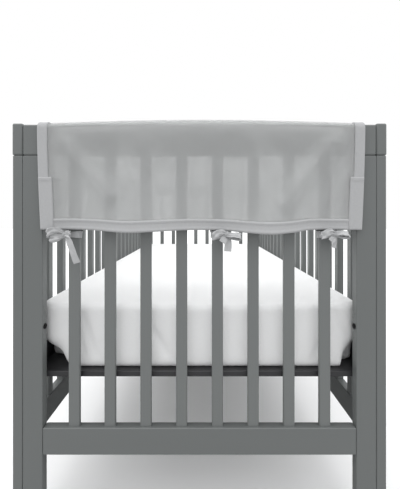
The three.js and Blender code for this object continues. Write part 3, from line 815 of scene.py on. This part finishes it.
def cloth_from_grid(name, columns, rows, placed, finishes, stands_for, thick):
    """A grid whose corners "placed" puts on the drape, with its flat sizes as its UV map."""
    shape = bmesh.new()
    bmesh.ops.create_grid(shape, x_segments=columns, y_segments=rows, size=0.5)
    flat = np.array([v.co for v in shape.verts]) + 0.5
    across, q, off, u, v = placed(flat[:, 0], flat[:, 1])
    at = draped(across, q, off)
    uv = shape.loops.layers.uv.new("cloth")
    for vertex, place in zip(shape.verts, at):
        vertex.co = place
    for face in shape.faces:
        face.smooth = True
        for loop in face.loops:
            i = loop.vert.index
            loop[uv].uv = (u[i] * MM, v[i] * MM)
    bmesh.ops.recalc_face_normals(shape, faces=shape.faces)
    return thicken(fit_piece(name, shape, finishes, stands_for), thick)


def crowded(t):
    """Along the panel, with the grid's lines closer where the cloth bends over the rail."""
    bend = RIDGE_FLAT + RIDGE_ARC
    s = 2 * t - 1
    below = np.clip((np.abs(s) - BEND_SHARE) / (1 - BEND_SHARE), 0, 1)
    inside = np.clip(np.abs(s) / BEND_SHARE, 0, 1) * bend
    return np.sign(s) * (inside + below * (HALF_LONG - PANEL_INSET - bend))


def panel_place(s, t):
    across = (2 * s - 1) * (COVER_WIDE / 2 - PANEL_INSET)
    q = crowded(t)
    near_hem = np.clip((np.abs(q) - RIPPLE_FROM) / EASED_OVER, 0, 1)
    ripple = RIPPLE_HIGH * np.sin(across / 9 + 2 * np.sin(q / 40)) * near_hem
    slack = SLACK_HIGH * np.sin(across / 31 + q / 57) * np.sin(q / 43 - across / 83)
    off_rail = np.clip((np.abs(q) - CALM_TO) / EASED_OVER, 0, 1)
    off_tape = np.clip((INNER - np.abs(across)) / CALM_TO, 0, 1)
    return across, q, (ripple + slack) * (off_rail * off_tape), across, q


mesh_cover = cloth_from_grid(
    "sheer_mesh_panel", PANEL_COLUMNS, PANEL_ROWS, panel_place, [sheer_mesh],
    ["mesh_panel"], PANEL_THICK,
)

# The edges are bound with soft woven tape folded in two over the mesh: a narrow one over the rail,
# a wider facing below its cross seam, and a hem band with a full, rolled edge.
TAPE_THICK = 0.8 * MM
TAPE_STAND = 1.15
TAPE_EDGE = 0.8
TAPE_WHITE = (0.435, 0.437, 0.442, 1)
TAPE_SHADE = (0.37, 0.372, 0.377, 1)
TAPE_THREADS = 1100
TAPE_BUMP = 0.6
TAPE_RELIEF = 0.22 * MM
PUCKER_SCALE = 120
PUCKER_HEIGHT = 2.5
SIDE_PUCKER = 0.22
SIDE_PUCKER_WIDE = 9
HEM_PUCKER = 0.3
HEM_PUCKER_WIDE = 8
SECTION_STEPS = 44
TAPE_STEP = 3.2
BINDING_ROLL = 0.3
FACING_ROLL = 0.5
HEM_ROLL = 1.25
SEAM_LAP = 4
SEAM_GAP = 0.2
FACING_LAP = 0.35


def woven_finish(name, white, shade):
    finish, tree, shader = new_finish(name)
    where = on_cloth(tree)
    weave = place_group(tree, plain_weave, Vector=where, Threads=TAPE_THREADS)
    blend_colours(tree, shader, weave.outputs["Shade"], white, shade)
    fill_in(tree, shader, Roughness=0.82, Specular_IOR_Level=0.25, Sheen_Weight=0.1)
    puckers = noise_in(tree, where, PUCKER_SCALE, detail=2)
    puckers = times_in(tree, puckers, PUCKER_HEIGHT)
    relief = sum_in(tree, weave.outputs["Height"], puckers)
    bump_from(tree, shader, relief, TAPE_BUMP, TAPE_RELIEF)
    return finish


woven_tape = woven_finish("woven_tape", TAPE_WHITE, TAPE_SHADE)


def tape_height(depth, wide, roll):
    """How far the tape stands off the cloth: full near both its edges, and down at the raw one."""
    rounded = np.sqrt(np.clip(1 - np.clip(1 - depth / TAPE_STAND, 0, 1) ** 2, 0, 1))
    at_seam = np.exp(-(((depth - wide + 3.2) / 2.6) ** 2))
    at_fold = 0.7 * np.exp(-(((depth - 3.0) / 2.6) ** 2))
    down = np.clip((wide - depth) / 1.8, 0, 1)
    stand = TAPE_STAND * rounded + roll * (at_seam + at_fold) * rounded
    return np.where(depth > wide / 2, TAPE_EDGE + (stand - TAPE_EDGE) * down * (2 - down), stand)


def fold_section(s, wide, roll):
    """Round a folded tape from one raw edge to the other: depth in from the fold, and height."""
    turn = 2 * s - 1
    near_fold = TAPE_STAND * 1.6
    run = np.abs(turn) * wide
    depth = np.where(run < near_fold, near_fold * (run / near_fold) ** 2, run)
    return depth, np.sign(turn) * tape_height(depth, wide, roll), np.sign(turn) * run


# A facing's upper end is turned under before it is sewn down, so it is one tape thicker there.
TURNED_END = 9
TURNED_THICK = 0.8


def tape_piece(name, steps, placed, stands_for):
    made = cloth_from_grid(
        name, SECTION_STEPS, steps, placed, [woven_tape], [stands_for], TAPE_THICK
    )


def side_tape(name, side, wide, start, end, roll, turned_at, stands_for):
    def placed(s, t):
        depth, height, run = fold_section(s, wide, roll)
        q = start + (end - start) * t
        at_seam = np.clip((depth - wide + SIDE_PUCKER_WIDE) / SIDE_PUCKER_WIDE, 0, 1)
        pucker = SIDE_PUCKER * np.sin(q / 2.9) * at_seam
        turned, lap = 0, 0
        if turned_at is not None:
            turned = np.clip((TURNED_END - np.abs(q - turned_at)) / 1.5, 0, 1)
            lap = FACING_LAP
        flat_part = np.clip(depth / 3, 0, 1)
        off = height + np.sign(height) * (pucker + TURNED_THICK * turned + lap) * flat_part
        return side * (COVER_WIDE / 2 + lap - depth), q, off, run, q

    tape_piece(name, max(int(abs(end - start) / TAPE_STEP), 6), placed, stands_for)


def hem_tape(name, way, stands_for):
    reach = COVER_WIDE / 2 - FACING_TAPE_WIDE + 1

    def placed(s, t):
        depth, height, run = fold_section(s, HEM_WIDE, HEM_ROLL)
        across = (2 * t - 1) * reach
        at_seam = np.clip((depth - HEM_WIDE + HEM_PUCKER_WIDE) / HEM_PUCKER_WIDE, 0, 1)
        pucker = HEM_PUCKER * np.sin(across / 3.1 + np.sin(across / 23)) * at_seam
        q = way * (HALF_LONG - depth)
        return across, q, height + np.sign(height) * pucker, run, across

    tape_piece(name, int(2 * reach / TAPE_STEP), placed, stands_for)


for side, sign in (("left", -1), ("right", 1)):
    side_tape(
        f"edge_binding_{side}", sign, BINDING_WIDE, -SEAM_AT - SEAM_LAP, SEAM_AT + SEAM_LAP,
        BINDING_ROLL, None, f"binding_{side}",
    )
    side_tape(
        f"edge_facing_front_{side}", sign, FACING_TAPE_WIDE, -HALF_LONG, -SEAM_AT - SEAM_GAP,
        FACING_ROLL, -SEAM_AT, f"facing_front_{side}",
    )
    side_tape(
        f"edge_facing_back_{side}", sign, FACING_TAPE_WIDE, SEAM_AT + SEAM_GAP, HALF_LONG,
        FACING_ROLL, SEAM_AT, f"facing_back_{side}",
    )
hem_tape("hem_band_front", -1, "hem_front")
hem_tape("hem_band_back", 1, "hem_back")

# Every tape is sewn through with one row of lockstitch near its raw edge, and the facings also
# across their turned ends. Each stitch is a short, plump length of thread pressed into the tape.
STITCH_PITCH = 3.0
STITCH_LONG = 2.5
STITCH_ROUND = 0.3
STITCH_IN = 2.2
HEM_STITCH_IN = 6.0
THREAD_WHITE = (0.54, 0.543, 0.548, 1)
THREAD_SHADE = (0.40, 0.403, 0.408, 1)
THREAD_LIFT = 0.5
FACING_THREAD_LIFT = 0.85
THREAD_BUMP = 0.4
THREAD_RELIEF = 0.1 * MM
TWIST_SCALE = 2400

sewing_thread, tree, shader = new_finish("sewing_thread")
twist = noise_in(tree, on_object(tree), TWIST_SCALE, detail=1)
blend_colours(tree, shader, twist, THREAD_WHITE, THREAD_SHADE)
fill_in(tree, shader, Roughness=0.6)
bump_from(tree, shader, twist, THREAD_BUMP, THREAD_RELIEF)

one_stitch = bmesh.new()
bmesh.ops.create_uvsphere(one_stitch, u_segments=6, v_segments=4, radius=1)
turn = Matrix.Rotation(math.pi / 2, 4, "Y")
bmesh.ops.transform(one_stitch, matrix=turn, verts=one_stitch.verts)
plump = (STITCH_LONG / 2, STITCH_ROUND, STITCH_ROUND)
bmesh.ops.scale(one_stitch, vec=plump, verts=one_stitch.verts)
bmesh.ops.translate(one_stitch, vec=(STITCH_LONG / 2 + 0.8, 0, 0), verts=one_stitch.verts)
stitch_mesh = bpy.data.meshes.new("one_stitch")
one_stitch.to_mesh(stitch_mesh)
one_stitch.free()


def row_of_stitches(shape, across, q, off):
    """Adds stitches along a row given by its two ends, on the outer and the inner side."""
    long = math.hypot(across[1] - across[0], q[1] - q[0])
    row = put_in("row_of_stitches", stitch_mesh.copy())
    repeat = row.modifiers.new("repeat", "ARRAY")
    repeat.count = int((long - 1) / STITCH_PITCH)
    repeat.use_relative_offset = False
    repeat.use_constant_offset = True
    repeat.constant_offset_displace = (STITCH_PITCH, 0, 0)
    apply_modifiers(row)
    flat = as_arrays(row.data)
    run, beside, rise = flat[:, 0] / long, flat[:, 1], flat[:, 2]
    way = np.array((across[1] - across[0], q[1] - q[0])) / long
    for face in (1, -1):
        settle(row, draped(
            across[0] + run * long * way[0] - beside * way[1],
            q[0] + run * long * way[1] + beside * way[0],
            face * off + rise,
        ))
        shape.from_mesh(row.data)
    bpy.data.objects.remove(row)


def thread_height(wide, inset, roll):
    return float(tape_height(np.array(wide - inset), wide, roll))


shape = bmesh.new()
for side, sign in (("left", -1), ("right", 1)):
    line = sign * (COVER_WIDE / 2 - BINDING_WIDE + STITCH_IN)
    lift = thread_height(BINDING_WIDE, STITCH_IN, BINDING_ROLL) + THREAD_LIFT
    row_of_stitches(shape, (line, line), (-SEAM_AT + 1, SEAM_AT - 1), lift)
    line = sign * (COVER_WIDE / 2 - FACING_TAPE_WIDE + STITCH_IN)
    lift = thread_height(FACING_TAPE_WIDE, STITCH_IN, FACING_ROLL) + FACING_THREAD_LIFT
    for way in (-1, 1):
        upper_end = way * (SEAM_AT + TURNED_END)
        row_of_stitches(shape, (line, line), (upper_end, way * (HALF_LONG - 1)), lift)
        seam = way * (SEAM_AT + TURNED_END - 2.5)
        fold = sign * (COVER_WIDE / 2 - 4)
        on_turned_end = TAPE_STAND + TURNED_THICK + FACING_THREAD_LIFT
        row_of_stitches(shape, (fold, line), (seam, seam), on_turned_end)
lift = thread_height(HEM_WIDE, HEM_STITCH_IN, HEM_ROLL) + THREAD_LIFT
for way in (-1, 1):
    seam = way * (HALF_LONG - HEM_WIDE + HEM_STITCH_IN)
    hem_end = COVER_WIDE / 2 - FACING_TAPE_WIDE - 1
    row_of_stitches(shape, (-hem_end, hem_end), (seam, seam), lift)
for face in shape.faces:
    face.smooth = True
fit_piece("sewn_stitches", shape, [sewing_thread])

# The ties are lengths of a looser tape, 14 mm wide, knotted in a small bow. Their tape is coloured
# lighter than the bindings' as painted highlight, for the light on the bows' crumpled folds. Each
# route is measured from the middle of its knot, in millimetres, with y negative to the front, and
# "wide" says which way the tape's width lies along it.
RIBBON_WIDE = 14
RIBBON_THICK = 0.9 * MM
RIBBON_STEPS = 12
ROWS_TO_A_POINT = 14
POINT_SPACING = 8.0
PLEAT = 1.4
RIBBON_LIT_WHITE = (0.50, 0.503, 0.508, 1)
RIBBON_LIT_SHADE = (0.40, 0.403, 0.408, 1)
CRUMPLE = 1.2
END_CRUMPLE = 0.35
GATHERED_SHARE = 0.32
GATHERED_NARROWING = 0.45
KNOT_SIZE = (6.6, 5.8, 7.2)
KNOT_ROUND = 7
RIBBON_OFF_SLAT = 1.9
RIBBON_BESIDE_SLAT = 1.5
KNOT_OUT = 22.5
KNOT_HEIGHT = -COVER_DROP - 9
STEM_WIDE = [[1, 0, 0], [1, 0, 0]]
TIES = [
    {
        "name": "left", "slat": 1, "knot_x": -272, "strap_side": 1,
        "loops": [
            {"route": [[0, -3, 3], [-10, -9, 8.5], [-22, -12, 8], [-31, -9, 3],
                       [-33, -2, 0], [-25, 1.5, -1], [-13, 1.5, 0], [-2, 1, 1]],
             "wide": [[0.1, -0.35, 1], [-0.1, 0.3, 1]]},
            {"route": [[0, -3, -3], [-9, -9, -6], [-19, -9, -8.5], [-27, -5, -7],
                       [-26, 0, -7], [-15, 1.5, -6], [-2, 1, -3]],
             "wide": [[0.35, -0.1, 1], [0.1, 0.2, 1]]},
            {"route": [[0, -3, 1], [6, -8, 2], [11, -7, 1], [11.5, -2, 0], [6, 1, 0], [1, 0, 0]],
             "wide": [[0, 0, 1], [0.1, 0.2, 1]]},
        ],
        "ends": [
            {"route": [[3, -3, -2], [9, -7, -8], [14, -9, -17],
                       [19, -9, -31], [23, -8, -44], [27, -6, -56]],
             "wide": [[0.8, -0.5, 0.4], [1, -0.1, 0.3]]},
        ],
    },
    {
        "name": "middle", "slat": 5, "knot_x": 49.5, "strap_side": -1,
        "loops": [
            {"route": [[0, -4, 2], [-8, -9, 5], [-17, -11, 2.5], [-25, -8, -3],
                       [-27, -2, -5], [-17, 1.5, -4], [-2, 1, -1]],
             "wide": [[-0.2, -0.2, 1], [0, 0.2, 1]]},
            {"route": [[0, -3, -1], [9, -9, -0.5], [17, -11, -0.5], [25, -11, -1.5],
                       [28, -9, -4], [23, -8, -7], [13, -5, -6], [2, -1, -2]],
             "wide": [[0, 0.62, 0.78], [0, 0.8, 0.6]]},
        ],
        "ends": [
            {"route": [[-1, -3, -3], [-4, -7, -9], [-8, -9, -15]],
             "wide": [[0.8, 0, -0.5], [0.8, 0, -0.6]]},
            {"route": [[1, -2, -3], [4, -4, -12], [4, -5, -22], [3, -5, -33]],
             "wide": [[0.9, 0.4, 0], [1, 0.05, 0]]},
        ],
    },
    {
        "name": "right", "slat": 8, "knot_x": 265, "strap_side": -1,
        "loops": [
            {"route": [[0, -4, 3], [-7, -9, 6], [-16, -11, 4.5], [-24, -8, -0.5],
                       [-26, -2, -2.5], [-17, 1.5, -3], [-2, 1, 0]],
             "wide": [[-0.2, -0.2, 1], [0, 0.2, 1]]},
            {"route": [[0, -3, 1], [8, -8, 3.5], [17, -9, 3.5], [24, -8, 2],
                       [26.5, -6, -1], [21, -5, -4], [12, -4, -3.5], [2, -1, -1]],
             "wide": [[0, 0.7, 0.7], [0, 0.85, 0.5]]},
        ],
        "ends": [
            {"route": [[-1, -3, -3], [-5, -7, -8], [-9, -9, -13]],
             "wide": [[0.7, 0, -0.6], [0.7, 0, -0.7]]},
            {"route": [[1, -2, -3], [0, -4, -10], [-1.5, -5, -18], [-3, -5, -26]],
             "wide": [[0.8, 0.6, 0], [0.8, 0.5, 0]]},
        ],
    },
]


def through(points, t):
    """A smooth curve through a route's points, at shares t of the way from point to point."""
    p = np.array(points, float)
    p = np.vstack([2 * p[0] - p[1], p, 2 * p[-1] - p[-2]])
    x = np.clip(t, 0, 1) * (len(p) - 3)
    i = np.minimum(x.astype(int), len(p) - 4)
    f = (x - i)[:, None]
    a, b, c, d = p[i], p[i + 1], p[i + 2], p[i + 3]
    bend = (2 * a - 5 * b + 4 * c - d) * f**2
    twist = (3 * b - a - 3 * c + d) * f**3
    return 0.5 * (2 * b + (c - a) * f + bend + twist)


def lay(shape, corners, at, u, v):
    """Puts the corners of new tape in place, with its flat sizes as its UV map."""
    uv = shape.loops.layers.uv.verify()
    for vertex, place, across, on in zip(corners, at, u, v):
        vertex.co = place
        for loop in vertex.link_loops:
            loop[uv].uv = (across, on)


def ribbon(shape, route, wide, centre, starts_in_knot, ends_in_knot, crumple=0.0):
    """Adds a length of tape along a route, drawn together where it goes into a knot."""
    rows = ROWS_TO_A_POINT * len(route)
    made = bmesh.ops.create_grid(shape, x_segments=RIBBON_STEPS, y_segments=rows, size=0.5)
    flat = np.array([v.co for v in made["verts"]]) + 0.5
    s, t = 2 * flat[:, 0] - 1, flat[:, 1]
    at = through(route, t)
    ahead = through(route, t + 0.004) - through(route, t - 0.004)
    ahead /= np.linalg.norm(ahead, axis=1, keepdims=True)
    keys = np.linspace(0, 1, len(wide))
    side = np.stack([np.interp(t, keys, [w[k] for w in wide]) for k in range(3)], axis=1)
    side -= ahead * (side * ahead).sum(1, keepdims=True)
    side /= np.linalg.norm(side, axis=1, keepdims=True)
    face = np.cross(ahead, side)
    drawn = np.zeros_like(t)
    if starts_in_knot:
        drawn = np.maximum(drawn, np.clip(1 - t / GATHERED_SHARE, 0, 1))
    if ends_in_knot:
        drawn = np.maximum(drawn, np.clip(1 - (1 - t) / GATHERED_SHARE, 0, 1))
    reach = RIBBON_WIDE / 2 * (1 - GATHERED_NARROWING * drawn)
    on = t * len(route)
    loose = np.sin(2.3 * on + 2.1 * s + centre[0]) * np.cos(3.4 * s - 1.7 * on + 0.8)
    curl = (1 - drawn) * (0.4 * s**2 + 0.6 * crumple * np.cos(1.6 * math.pi * s + 1.9 * on))
    pleat = PLEAT * drawn * np.cos(2.5 * math.pi * s) + curl + crumple * loose
    at = at + side * (s * reach)[:, None] + face * pleat[:, None] + np.array(centre)
    at = at * MM + COVER_PLACE
    length = POINT_SPACING * len(route) * MM
    lay(shape, made["verts"], at, s * RIBBON_WIDE / 2 * MM, t * length)


def knot(shape, centre):
    """A knot: the tape wound once round the bow's middle, plump, with its edges tucked in."""
    made = bmesh.ops.create_uvsphere(shape, u_segments=20, v_segments=14, radius=1)
    at = np.array([v.co for v in made["verts"]])
    turn = np.arctan2(at[:, 2], at[:, 1])
    waist = np.exp(-(((at[:, 0] - 0.25) / 0.18) ** 2))
    wound = 1 + 0.10 * np.sin(3 * turn + 4 * at[:, 0]) - 0.12 * waist
    at = at * np.array(KNOT_SIZE) * wound[:, None] + np.array(centre)
    at = at * MM + COVER_PLACE
    lay(shape, made["verts"], at, at[:, 0], turn * KNOT_ROUND * MM)


# The ties' tape, coloured lighter than the bindings' as painted highlight on the bows' folds.
ribbon_tape_lit = woven_finish("ribbon_tape_lit", RIBBON_LIT_WHITE, RIBBON_LIT_SHADE)


def ribbon_shape():
    shape = bmesh.new()
    shape.loops.layers.uv.new("cloth")
    return shape


def tie_piece(name, shape, stands_for=()):
    for face in shape.faces:
        face.smooth = True
    made = fit_piece(name, shape, [ribbon_tape_lit], stands_for)
    return made


for tie in TIES:
    centre = (tie["knot_x"], -KNOT_OUT, KNOT_HEIGHT)
    away = -tie["strap_side"]
    shape = ribbon_shape()
    for strand in tie["loops"]:
        ribbon(shape, strand["route"], strand["wide"], centre, True, True, CRUMPLE)
    for strand in tie["ends"]:
        ribbon(shape, strand["route"], strand["wide"], centre, True, False, END_CRUMPLE)
    stem = [[4 * away, 11.4, 19], [4 * away, 11.2, 13], [4 * away, 10.8, 8], [2 * away, 4.5, 1]]
    ribbon(shape, stem, STEM_WIDE, centre, False, True)
    bow = tie_piece(f"bow_{tie['name']}", shape, [f"tie_{tie['name']}_front"])
    thicken(bow, RIBBON_THICK)
    shape = ribbon_shape()
    knot(shape, centre)
    tie_piece(f"bow_knot_{tie['name']}", shape)

    slat_low, slat_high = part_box(f"end_slat_front_{tie['slat']}")
    slat_x = (slat_low.x + slat_high.x) / 2 / MM - COVER_TO_RIGHT
    side = tie["strap_side"]
    beside = slat_x + side * ((slat_high.x - slat_low.x) / 2 / MM + RIBBON_BESIDE_SLAT)
    slat_front = (RAIL_PLANE - slat_low.y) / MM
    before = -slat_front - RIBBON_OFF_SLAT
    level = KNOT_HEIGHT - 1
    strap = [
        [slat_x - side * 5, 11, level + 25], [slat_x + side * 1, 10.2, level + 14],
        [slat_x + side * 8, 9, level + 5], [beside, 4, level], [beside, 1 - slat_front, level],
        [beside - side * 3, before, level], [slat_x, before, level],
        [slat_x - side * 9, before - 0.5, level],
        [tie["knot_x"] + side * 6, -KNOT_OUT + 7, level],
    ]
    upright = [0, 0, 1]
    strap_wide = [[side, 0, 0.45], [side, 0, 0.6], [0.7 * side, 0, 1]] + [upright] * 6
    shape = ribbon_shape()
    ribbon(shape, strap, strap_wide, (0, 0, 0), False, True)
    made = tie_piece(f"strap_{tie['name']}", shape, [f"tie_{tie['name']}_back"])
    thicken(made, RIBBON_THICK)
